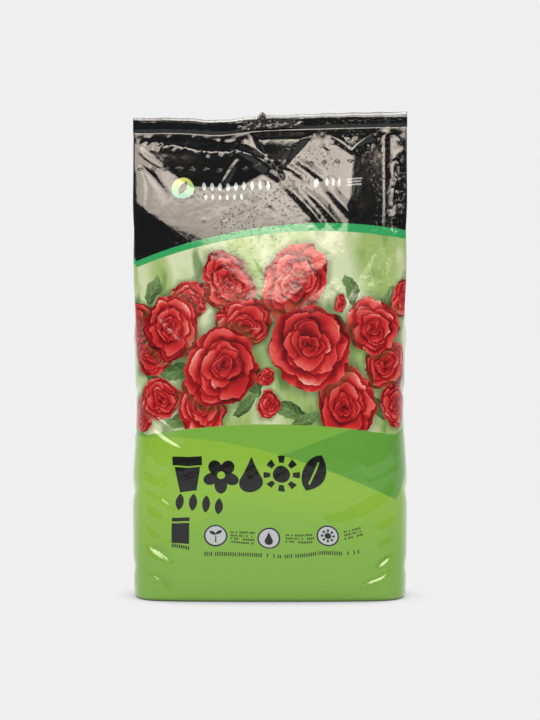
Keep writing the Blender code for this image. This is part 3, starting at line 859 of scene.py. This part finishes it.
@dataclass(frozen=True)
class Garland:
    """The printed picture: layered red blooms over leaves and a blurred green garden."""

    maroon: Triple = from_screen(74, 10, 16)
    crimson: Triple = from_screen(158, 20, 28)
    red: Triple = from_screen(212, 44, 44)
    coral: Triple = from_screen(236, 98, 88)
    blush: Triple = from_screen(246, 190, 172)
    leaf_dark: Triple = from_screen(48, 78, 40)
    leaf_light: Triple = from_screen(138, 170, 104)
    meadow_pale: Triple = from_screen(222, 230, 186)
    meadow: Triple = from_screen(166, 192, 112)
    meadow_deep: Triple = from_screen(98, 134, 70)
    rings: tuple[Ring, ...] = (
        Ring(1.06, 5, 0.3, 0.62, 0.00),
        Ring(0.84, 5, 1.5, 0.68, 0.05),
        Ring(0.66, 4, 2.6, 0.60, 0.07),
        Ring(0.50, 4, 0.9, 0.66, 0.07),
        Ring(0.35, 3, 2.0, 0.52, 0.05),
        Ring(0.22, 3, 0.2, 0.56, 0.03),
        Ring(0.11, 2, 1.4, 0.42, 0.00),
    )
    blooms: tuple[Bloom, ...] = tuple(Bloom(*row) for row in (
        (-108, 206, 19, 140, 0.90), (-97, 184, 18, 200, 0.90), (108, 226, 15, 70, 0.85),
        (98, 176, 20, 200, 0.90), (-33, 237, 25, 120, 0.78), (-66, 224, 18, 30, 0.80),
        (84, 205, 23, 330, 0.90), (19, 236, 32, 60, 0.76), (-110, 138, 16, 75, 0.85),
        (-92, 152, 18, 20, 0.85), (106, 146, 17, 110, 0.88), (-22, 208, 25, 10, 0.80),
        (-80, 204, 26, 250, 0.88), (-57, 145, 30, 100, 0.70), (64, 149, 30, 290, 0.88),
        (-41, 175, 35, 40, 0.90), (33, 189, 38, 160, 0.92), (-5, 168, 9.5, 15, 0.82),
        (0, 148, 12.5, 80, 0.92), (56, 221, 7.5, 80, 0.80),
    ))
    leaves: tuple[Leaf, ...] = tuple(Leaf(*row) for row in (
        (-92, 232, 13, 5, 60), (-60, 228, 15, 6, 20), (64, 232, 14, 5, 110), (92, 225, 13, 5, 70),
        (52, 206, 16, 7, 150), (-78, 172, 14, 6, 190), (-98, 172, 14, 6, 80),
        (-14, 166, 15, 7, 100), (-22, 146, 14, 6, 40), (16, 142, 16, 6, 165),
        (30, 136, 13, 5, 20), (86, 146, 16, 7, 130), (-72, 134, 15, 6, 170), (96, 196, 12, 6, 50),
    ))

    def colour(self, place: Signal, front: Signal) -> Signal:
        """The picture's colour.

        Args:
            place: Places on the web, in millimetres, that come round again for the back.
            front: Places on the web from the middle of the front, in millimetres.

        Returns:
            The colour at each place.
        """
        bent = front.waver(front, 0.05, 1.0, (11.0, 11.0, 0.0))
        bent = bent.waver(front, 0.20, 2.0, (4.0, 4.0, 0.0))
        return self.with_blooms(bent, self.with_leaves(bent, self.garden(place)))

    def garden(self, place: Signal) -> Signal:
        """The blurred garden behind the blooms: light patches and soft upright stems."""
        upright = place.vector("MULTIPLY", (1.0, 0.45, 1.0))
        stems = upright.noise(0.075, 1.0)
        colour = upright.noise(0.028, 1.0).rise(0.38, 0.62).mix(self.meadow, self.meadow_pale)
        colour = (stems.rise(0.52, 0.72) * 0.8).mix(colour, self.meadow_deep)
        return (stems.rise(0.42, 0.26) * 0.7).mix(colour, self.meadow_pale)

    def with_leaves(self, bent: Signal, under: Signal) -> Signal:
        """Lays the leaves over the garden, the later ones in front.

        Args:
            bent: Wavering places on the web, in millimetres.
            under: The garden's colour.

        Returns:
            The colour with the leaves.
        """
        chosen, covered = bent, 0.0
        for leaf in self.leaves:
            local = bent.onto((leaf.across, leaf.up), (leaf.length, leaf.width), leaf.turn)
            wide = local.vector("ABSOLUTE")
            inside = (wide.part(0) * wide.part(0) + wide.part(1)).below(1.0)
            chosen, covered = inside.choose(chosen, local), inside.most(covered)
        along, off = chosen.part(0), chosen.part(1)
        rib = abs(off).rise(0.03, 0.12, 0.35, 0.0)
        veins = (along * 16.0 - abs(off) * 9.0).sine() * 0.12
        light = 0.40 + 0.30 * off + 0.25 * along + rib + veins
        return covered.mix(under, light.mix(self.leaf_dark, self.leaf_light))

    def with_blooms(self, bent: Signal, under: Signal) -> Signal:
        """Lays the blooms over the leaves, the later ones in front, each in the shade of the next.

        Args:
            bent: Wavering places on the web, in millimetres.
            under: The colour of leaves and garden.

        Returns:
            The colour with the blooms.
        """
        chosen, covered, light = bent, 0.0, 1.0
        for i, bloom in enumerate(self.blooms):
            size = (bloom.radius, bloom.radius * bloom.squash)
            local = bent.onto((bloom.across, bloom.up), size, bloom.turn, 0.03 * i)
            reach = local.length()
            inside = reach.below(1.0)
            chosen, covered = inside.choose(chosen, local), inside.most(covered)
            light = inside.most(reach.rise(1.0, 1.25, 0.5, 1.0) * light)
        return light.mix(self.leaf_dark, covered.mix(under, self.petals(chosen)))

    def petals(self, local: Signal) -> Signal:
        """The colour within one bloom: rings of petals, each ring over the one outside it.

        Args:
            local: Places from the bloom's middle in units of its radius, with its mark.

        Returns:
            The petals' colour.
        """
        x, y, mark = local.part(0) - 0.06, local.part(1) + 0.08, local.part(2)
        rough = local.noise(2.6, 2.0) - 0.5
        turn = y.angle(x) + rough * 0.5
        reach = (x * x + y * y).root()
        tone = 0.3
        for ring in self.rings:
            swing = turn * (ring.petals / 2.0) + mark * (9.0 + 4.0 * ring.phase) + ring.phase
            lobe = abs(swing.sine())
            drift = (turn + mark * 20.0 + ring.phase * 2.0).cosine() * ring.drift
            outline = (lobe**0.7) * (0.20 * ring.radius) + drift + rough * 0.16 + 0.82 * ring.radius
            t = reach / outline
            petal = ring.tone - 0.26 + 0.30 * t.rise(0.55, 0.98) + (swing * 2.0).sine() * 0.10
            petal = petal + t.rise(0.93, 0.99) * (0.10 + rough * 0.5) + rough * 0.25
            petal = petal - lobe.rise(0.35, 0.0) * 0.22
            shaded = tone * t.rise(1.0, 1.30, 0.35, 1.0)
            tone = shaded + (petal - shaded) * t.rise(1.015, 0.985)
        tone = tone + (y - x) * 0.08
        colour = tone.rise(0.0, 0.32).mix(self.maroon, self.crimson)
        colour = tone.rise(0.25, 0.58).mix(colour, self.red)
        colour = tone.rise(0.52, 0.84).mix(colour, self.coral)
        return tone.rise(0.80, 1.05).mix(colour, self.blush)


class Sign(Enum):
    """The simple garden signs printed in place of words."""

    POT = "pot"
    SUN = "sun"
    DROP = "drop"
    FLOWER = "flower"
    LEAF = "leaf"
    SPROUT = "sprout"
    SACK = "sack"


class Stroke(Enum):
    """What a printed row is made of."""

    LEAVES = "leaves"
    BARS = "bars"


@dataclass(frozen=True)
class Row:
    """Rows of small leaves or bars that stand where lines of type would.

    The first row starts at left and low, and the others lie below it, one leading apart.
    """

    left: float
    low: float
    length: float
    height: float
    pitch: float
    weight: float
    stroke: Stroke
    lines: int = 1
    leading: float = 10.0
    turn: float = 0.0
    gaps: float = 0.0


@dataclass(frozen=True)
class Mark:
    """One sign: where its middle is and half its height, in millimetres."""

    sign: Sign
    across: float
    up: float
    size: float
    turn: float = 0.0


@dataclass(frozen=True)
class Signs:
    """All the signs and rows of the print, drawn by distances to their outlines."""

    heavy: tuple[Mark, ...] = (
        Mark(Sign.POT, -61, 96.5, 14, 3),
        Mark(Sign.FLOWER, -36, 95, 13.5),
        Mark(Sign.DROP, -14, 95.5, 14.5),
        Mark(Sign.SUN, 8.5, 96, 13.5),
        Mark(Sign.LEAF, 32.5, 97, 15, -24),
        Mark(Sign.SACK, -66, 52, 10.5, -2),
    )
    badges: tuple[Mark, ...] = (
        Mark(Sign.SPROUT, -40.3, 47.9, 8.6),
        Mark(Sign.DROP, -0.8, 46.7, 8.6),
        Mark(Sign.SUN, 42.6, 48.3, 8.6),
    )
    dark_rows: tuple[Row, ...] = (
        Row(-71.5, 75.5, 39, 6.4, 9.75, 3, Stroke.LEAVES, leading=14, turn=-6),
        Row(-73, 40, 13.5, 1.3, 1.7, 0.55, Stroke.BARS, turn=-8),
        Row(-29.5, 51.5, 17.5, 0.8, 1.3, 0.42, Stroke.BARS, 4, 2.75, -2, 0.22),
        Row(11.5, 49.5, 20.5, 0.8, 1.3, 0.42, Stroke.BARS, 3, 2.75, -1, 0.22),
        Row(54.5, 52, 13.5, 0.8, 1.3, 0.42, Stroke.BARS, 3, 2.75, 8, 0.22),
        Row(-49, 34.6, 58, 1.5, 1.6, 0.42, Stroke.BARS, turn=-2.5, gaps=0.16),
        Row(10.5, 32.2, 56, 1.5, 1.6, 0.42, Stroke.BARS, turn=4, gaps=0.16),
    )
    pale_rows: tuple[Row, ...] = (
        Row(-53, 311.5, 55, 3.4, 6.1, 1.5, Stroke.LEAVES),
        Row(-51.5, 303, 33, 2.4, 5.5, 1.2, Stroke.LEAVES),
        Row(32, 312.5, 6, 4, 6, 1.9, Stroke.LEAVES, turn=-14),
        Row(41, 313, 13.5, 3.2, 4.5, 1.1, Stroke.LEAVES),
        Row(58, 314.5, 11, 0.6, 1.4, 0.5, Stroke.BARS, 3, 2.3),
    )
    emblem: Mark = Mark(Sign.LEAF, -66, 309, 8.6)
    low_stretch: Triple = (0.899, 1.03, 0.0)
    low_shift: Triple = (0.0, -3.3, 0.0)
    badge_share: float = 0.62
    ring_width: float = 1.2
    blur: float = 0.2

    def lens(self, local: Signal, length: float, width: float) -> Signal:
        """Distance into an upright leaf shape of half a length and half a width."""
        radius = (length * length + width * width) / (2.0 * width)
        return radius - local.vector("ABSOLUTE").vector("ADD", (radius - width, 0.0, 0.0)).length()

    def box(self, local: Signal, width: float, height: float) -> Signal:
        """Distance into a box of half a width and half a height."""
        wide = local.vector("ABSOLUTE")
        return (width - wide.part(0)).least(height - wide.part(1))

    def shape(self, place: Signal, mark: Mark) -> Signal:
        """Distance into a sign, which is drawn in units of its size.

        Args:
            place: Places on the web, in millimetres.
            mark: The sign and its place.

        Returns:
            The distance inside the outline, in millimetres, below 0 outside.
        """
        local = place.onto((mark.across, mark.up), (mark.size, mark.size), mark.turn)
        if mark.sign is Sign.LEAF:
            inside = self.lens(local, 1.0, 0.58).least(-1.0 * self.box(local, 0.05, 0.62))
        elif mark.sign is Sign.SACK:
            seam = self.box(local.onto((0.0, 0.62)), 1.0, 0.07)
            inside = self.box(local, 0.62, 1.0).least(-1.0 * seam)
        elif mark.sign is Sign.SPROUT:
            left = self.lens(local.onto((-0.26, 0.22), turn=55.0), 0.34, 0.15)
            right = self.lens(local.onto((0.26, 0.28), turn=-55.0), 0.34, 0.15)
            inside = self.box(local.onto((0.0, -0.35)), 0.05, 0.30).most(left).most(right)
        elif mark.sign is Sign.POT:
            x, y = local.part(0), local.part(1)
            body = (0.62 + 0.18 * y - abs(x)).least(0.40 - y).least(y + 1.0)
            inside = body.most(self.box(local.onto((0.0, 0.72)), 0.80, 0.24))
        elif mark.sign is Sign.DROP:
            x, y = local.part(0), local.part(1)
            tip = ((1.0 - y) * 0.42 - abs(x) * 0.9).least(y + 0.22)
            inside = tip.most(0.60 - local.onto((0.0, -0.40)).length())
        elif mark.sign is Sign.FLOWER:
            turn, reach = local.polar()
            petals = abs((turn * 2.5 + 0.8).cosine())
            inside = (0.58 + 0.42 * petals - reach).least(reach - 0.22)
        else:
            turn, reach = local.polar()
            rays = (1.0 - reach).least(reach - 0.62).least((turn * 8.0).cosine() * 0.16)
            inside = rays.most(0.48 - reach)
        return inside * mark.size

    def row(self, place: Signal, row: Row) -> Signal:
        """Distance into the leaves or bars of some rows.

        Args:
            place: Places on the web, in millimetres.
            row: The rows.

        Returns:
            The distance inside an outline, in millimetres, below 0 outside.
        """
        local = place.onto((row.left, row.low), turn=row.turn)
        x = local.part(0)
        line, cell = local.part(1) / -row.leading + 0.5, x / row.pitch
        near_x = (cell.fraction() - 0.5) * row.pitch
        near = near_x.beside((line.fraction() - 0.5) * row.leading)
        if row.stroke is Stroke.LEAVES:
            inside = self.lens(near, row.height, row.weight)
        else:
            inside = self.box(near, row.weight, row.height)
        number = line.whole()
        ragged = (number * 2.4 + row.left).sine() * (0.06 * row.length * (row.lines > 1))
        inside = inside.least(x.least(row.length + ragged - x))
        inside = inside.least(line.least(row.lines - line) * 2.0)
        if row.gaps:
            letter = {"Vector": cell.whole().beside(number)}
            chance = place.graph.node("ShaderNodeTexWhiteNoise", {}, letter)
            inside = inside.least((chance - row.gaps) * 5.0)
        return inside

    def over(self, place: Signal, inks: Inks, under: Signal) -> Signal:
        """Prints the signs and rows over the fields.

        Args:
            place: Places on the web, in millimetres.
            inks: The inks.
            under: The fields' colour.

        Returns:
            The colour with the signs.
        """
        high = place.waver(place, 0.03, 1.0, (2.0, 6.0, 0.0))
        low = high.vector("MULTIPLY_ADD", self.low_stretch, self.low_shift)
        dark, pale, discs = -1.0, -1.0, -1.0
        for badge in self.badges:
            inside = badge.size - low.onto((badge.across, badge.up)).length()
            discs = inside.most(discs)
            ring = self.ring_width / 2.0 - abs(inside - self.ring_width / 2.0)
            share = 1.0 if badge.sign is Sign.SPROUT else self.badge_share
            small = replace(badge, size=badge.size * share)
            dark = ring.most(self.shape(low, small)).most(dark)
        for mark in self.heavy:
            dark = self.shape(low, mark).most(dark)
        for row in self.dark_rows:
            dark = self.row(low, row).most(dark)
        for row in self.pale_rows:
            pale = self.row(high, row).most(pale)
        size = self.emblem.size
        local = high.onto((self.emblem.across, self.emblem.up))
        height = local.part(1)
        seal = height.rise(-size, 0.0).mix(inks.teal, inks.mint)
        seal = height.rise(0.0, size).mix(seal, inks.lemon)
        leaf = self.lens(local.onto((0.0, 0.0), turn=-30.0), 0.72 * size, 0.30 * size)
        colour = discs.edge(under, inks.white, self.blur)
        colour = dark.edge(colour, inks.type_black, self.blur)
        colour = pale.edge(colour, inks.white, self.blur)
        return (size - local.length()).least(-1.0 * leaf).edge(colour, seal, self.blur)


@dataclass(frozen=True)
class PrintedFilm:
    """Glossy film, printed all round with fields of colour.

    The fields' edges are bows: each has its height in the middle and its fall to the sides.
    """

    half_width: float
    weld: float
    top: float
    inks: Inks = Inks()
    roughness: float = 0.09
    ior: float = 1.5
    lime_top: Pair = (133.0, 8.6)
    sweep_fall: float = 46.0
    sweep_power: float = 1.3
    band_low: Pair = (276.3, 14.6)
    band_middle: float = 0.36
    band_width: float = 5.5
    margin: float = 2.4
    nib_across: float = -6.5
    prick_pitch: float = 9.95
    pricks_below: float = 38.0
    blur: float = 0.3

    def material(self) -> bpy.types.Material:
        """Makes the finish.

        Returns:
            The material.
        """
        made = bpy.data.materials.new("printed_film")
        graph = Graph(made)
        web = graph.node("ShaderNodeUVMap", {"uv_map": "web"})
        web = web.vector("MULTIPLY", (1.0 / MM, 1.0 / MM, 0.0))
        around, v = web.part(0), web.part(1)
        period = (2.0 + GUSSET_WEB) * self.half_width
        u = around.wrap(period - self.half_width, -self.half_width)
        place, front = u.beside(v), around.wrap(period, -period).beside(v)
        values = {
            "Base Color": self.fields(place, front, u, v),
            "Roughness": self.roughness + 0.07 * place.noise(0.05, 3.0),
            "IOR": self.ior,
            "Normal": self.relief(place, u, v),
        }
        shader = graph.node("ShaderNodeBsdfPrincipled", {}, values)
        graph.node("ShaderNodeOutputMaterial", {}, {"Surface": shader})
        return made

    def relief(self, place: Signal, u: Signal, v: Signal) -> Signal:
        """The film's fine wrinkles and worn pits, its row of pricks and the crumpled weld.

        Args:
            place: Places on the web, in millimetres.
            u: Places across the web, in millimetres.
            v: Heights on the web, in millimetres.

        Returns:
            The bumped normal.
        """
        fine, broad = place.noise(0.45, 3.0), place.noise(0.09, 2.0)
        worn = place.noise(0.025, 1.0).rise(0.36, 0.58) * v.rise(190.0, 270.0)
        worn = worn * u.rise(-84.0, -56.0) * u.rise(-24.0, -4.0).most(v.rise(316.0, 304.0))
        height = 0.02 * fine + 0.30 * broad - 0.15 * (fine.rise(0.57, 0.70) * worn)
        step = (((u + 103.0) / self.prick_pitch).fraction() - 0.5) * self.prick_pitch
        drop = v - (self.top - self.pricks_below) - u * 0.02 - (broad * 6.0 - 3.0)
        prick = abs(step) * 0.8 + abs(drop) + (fine - 0.5) * 6.0
        height = height + prick.rise(0.3, 2.1, 0.45, 0.0)
        in_weld = v.rise(self.weld - 0.2, self.weld + 1.2) * v.rise(self.top - 2.6, self.top - 3.6)
        crumpled = place.vector("MULTIPLY", (0.7, 1.3, 1.0)).noise(0.22, 2.0)
        height = height + crumpled * in_weld * abs(u).rise(16.0, 27.0, 1.0, 0.06) * 2.2
        values = {"Height": height, "Strength": 1.0, "Distance": MM}
        return place.graph.node("ShaderNodeBump", {}, values)

    def fields(self, place: Signal, front: Signal, u: Signal, v: Signal) -> Signal:
        """The print's fields of colour, from the base up, with painted shade darkening the lime low
        down.

        Both panels and both gussets have the fields. Only the front has blooms and signs.

        Args:
            place: Places on the web, in millimetres, that come round again for the back.
            front: Places on the web from the middle of the front, in millimetres.
            u: Places across the web, in millimetres.
            v: Heights on the web, in millimetres.

        Returns:
            The colour.
        """
        inks = self.inks
        gusset = (u - self.half_width) / (GUSSET_WEB * self.half_width)
        on_gusset = gusset.above(0.0)
        across = u / self.half_width * (1.0 - on_gusset) + (1.0 - 2.0 * gusset) * on_gusset
        lime_top = self.lime_top[0] - self.lime_top[1] * across * across
        right = (0.5 + 0.5 * across).most(0.0)
        sweep = lime_top - 2.0 - self.sweep_fall * right**self.sweep_power
        aside = across - self.band_middle
        band_low = self.band_low[0] - self.band_low[1] * aside * aside
        band_high = band_low + self.band_width + 1.0 * across
        # Painted shade: the lime darkens towards the base
        lime = v.rise(10.0, 90.0).mix(inks.lime_painted_shade, inks.lime)
        # Painted shade: low on the lime, below two soft diagonals, the film is mixed darker towards
        # green like a shaded facet
        lower = (v - u * 0.63 - 98.0).rise(0.5, -0.5) * (v + u * 0.20 - 74.0).rise(12.0, -12.0)
        lime = (lower * 0.45).mix(lime, inks.green)
        wedge = (u * 0.327 - v + 107.0).rise(-0.4, 0.4) * 0.9
        green = wedge.mix(inks.green, inks.green_deep)
        green = (across.rise(0.70, 0.86) * 0.5).mix(green, inks.green_deep)
        colour = (v - sweep).edge(lime, green, self.blur)
        colour = (v - lime_top).edge(colour, Garland().colour(place, front), self.blur)
        colour = (v - band_low).edge(colour, inks.band, self.blur)
        colour = (v - band_high).edge(colour, inks.black, self.blur)
        colour = Signs().over(front, inks, colour)
        nib = abs(u - self.nib_across).rise(3.0, 3.6, 1.0, 0.0)
        margin = self.top - self.margin - 1.4 * across
        return (v - margin).edge(colour, nib.mix(inks.selvage, inks.torn), self.blur)


@dataclass(frozen=True)
class Lamp:
    """A soft rectangular light that faces the bag, in metres.

    The radiance is how bright its face is, where 1 is a white surface in full light. A glossy lamp
    shows in reflections, and a diffuse one lights the surfaces.
    """

    name: str
    place: Triple
    size: Pair
    radiance: float
    tint: Triple = (1.0, 1.0, 1.0)
    glossy: bool = True
    diffuse: bool = False

    def build(self) -> None:
        """Adds the light, which the camera doesn't see."""
        data = bpy.data.lights.new(self.name, "AREA")
        data.shape = "RECTANGLE"
        data.size, data.size_y = self.size
        data.color = self.tint
        data.energy = self.radiance * math.pi * self.size[0] * self.size[1]
        lamp = bpy.data.objects.new(self.name, data)
        lamp.location = self.place
        aim = Vector((0.0, 0.0, 0.2)) - Vector(self.place)
        lamp.rotation_euler = aim.to_track_quat("-Z", "Y").to_euler()
        lamp.visible_glossy, lamp.visible_diffuse = self.glossy, self.diffuse
        lamp.visible_camera = False
        bpy.context.scene.collection.objects.link(lamp)


@dataclass(frozen=True)
class Studio:
    """The pale floor, the soft lights and the camera."""

    distance: float = 1.75
    elevation: float = 2.0
    background: Triple = from_screen(239, 239, 239)
    # How dark the floor's painted contact shadow is, as a share of the background
    painted_contact_shadow: float = 0.06
    warm: Triple = (1.0, 0.89, 0.76)
    card: Triple = (1.0, 0.92, 0.82)

    def camera(self) -> None:
        """Sets the camera level with the bag and square to its front."""
        data = bpy.data.cameras.new("camera")
        data.lens = data.sensor_width * self.distance / (FRAME_HEIGHT_PX * PIXEL_MM * MM)
        data.clip_end = 50.0
        camera = bpy.data.objects.new("camera", data)
        bpy.context.scene.collection.objects.link(camera)
        lift = math.radians(self.elevation)
        aim = Vector((0.0, 0.0, (BAG_BASE_PX - FRAME_HEIGHT_PX / 2.0) * PIXEL_MM * MM))
        camera.location = aim + Vector((0.0, -math.cos(lift), math.sin(lift))) * self.distance
        camera.rotation_euler = (math.pi / 2.0 - lift, 0.0, 0.0)
        bpy.context.scene.camera = camera

    def lights(self) -> None:
        """Adds the softboxes and cards that show in the film, and the lights that light it."""
        lamps = [
            Lamp("softbox", (-0.14, -0.93, 1.13), (1.04, 0.96), 8.6, self.warm),
            Lamp("softbox_core", (-0.02, -0.90, 1.10), (0.44, 0.50), 4.2, (1.0, 0.90, 0.78)),
            Lamp("card_0", (-0.22, -1.10, 0.93), (0.42, 0.13), 2.6, self.card),
            Lamp("card_1", (0.10, -1.02, 1.02), (0.26, 0.13), 2.6, self.card),
            Lamp("card_2", (-0.10, -0.86, 1.16), (0.62, 0.13), 2.6, self.card),
            Lamp("card_3", (-0.34, -0.72, 1.28), (0.30, 0.13), 2.6, self.card),
            Lamp("side_box", (-0.74, -0.84, 1.0), (0.46, 0.50), 9.0, self.warm),
            Lamp("far_box", (0.81, -0.66, 1.0), (0.34, 0.50), 9.0, self.warm),
            Lamp("key", (-0.2, -1.3, 1.3), (1.6, 1.2), 1.9, glossy=False, diffuse=True),
            Lamp("rear", (0.5, 1.5, 1.2), (1.6, 1.2), 1.5, diffuse=True),
        ]
        for lamp in lamps:
            lamp.build()

    def world(self) -> None:
        """A pale surround for the camera. Reflections see it bright behind the bag, dim before."""
        world = bpy.data.worlds.new("studio")
        graph = Graph(world)
        bpy.context.scene.world = world
        away = graph.node("ShaderNodeTexCoord").part(1)
        around = away.rise(0.05, 0.80).mix((0.10, 0.10, 0.10), self.background)
        is_diffuse = graph.node("ShaderNodeLightPath", output=2)
        around = is_diffuse.mix(around, (0.45, 0.45, 0.45))
        colour = graph.node("ShaderNodeLightPath").mix(around, self.background)
        surround = graph.node("ShaderNodeBackground", {}, {"Color": colour, "Strength": 1.0})
        graph.node("ShaderNodeOutputWorld", {}, {"Surface": surround})

    def floor(self) -> None:
        """Adds the pale floor, which glows evenly, with a painted contact shadow where the bag
        stands on it.
        """
        plane = bmesh.new()
        bmesh.ops.create_grid(plane, x_segments=1, y_segments=1, size=6.0)
        mesh = bpy.data.meshes.new("floor")
        plane.to_mesh(mesh)
        plane.free()
        floor = bpy.data.objects.new("floor", mesh)
        bpy.context.scene.collection.objects.link(floor)
        material = bpy.data.materials.new("pale_floor")
        graph = Graph(material)
        # Painted contact shadow: the floor's glow darkens with the ambient occlusion near the bag
        sky = graph.node("ShaderNodeAmbientOcclusion", {"samples": 12}, {"Distance": 0.05}, 1)
        shade = tuple(self.painted_contact_shadow * part for part in self.background)
        values = {
            "Base Color": (0.0, 0.0, 0.0, 1.0),
            "Specular IOR Level": 0.0,
            "Emission Color": sky.rise(0.04, 0.76).mix(shade, self.background),
            "Emission Strength": 1.0,
        }
        shader = graph.node("ShaderNodeBsdfPrincipled", {}, values)
        graph.node("ShaderNodeOutputMaterial", {}, {"Surface": shader})
        mesh.materials.append(material)

    def build(self) -> None:
        """Sets up the whole stage."""
        bpy.context.scene.view_settings.view_transform = "Standard"
        self.camera()
        self.lights()
        self.world()
        self.floor()


def main() -> None:
    """Builds the stage and the bag, and fits them to the frame."""
    logging.basicConfig(level=logging.INFO, format="%(name)s: %(message)s")
    Studio().build()
    film = FilmBag(*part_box(NODE))
    bag = film.build()
    film.dress(bag)
    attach(bag, "root")
    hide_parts(NODE)
    log.info("%s stands in the frame", bag.name)
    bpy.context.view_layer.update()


if __name__ == "__main__":
    main()
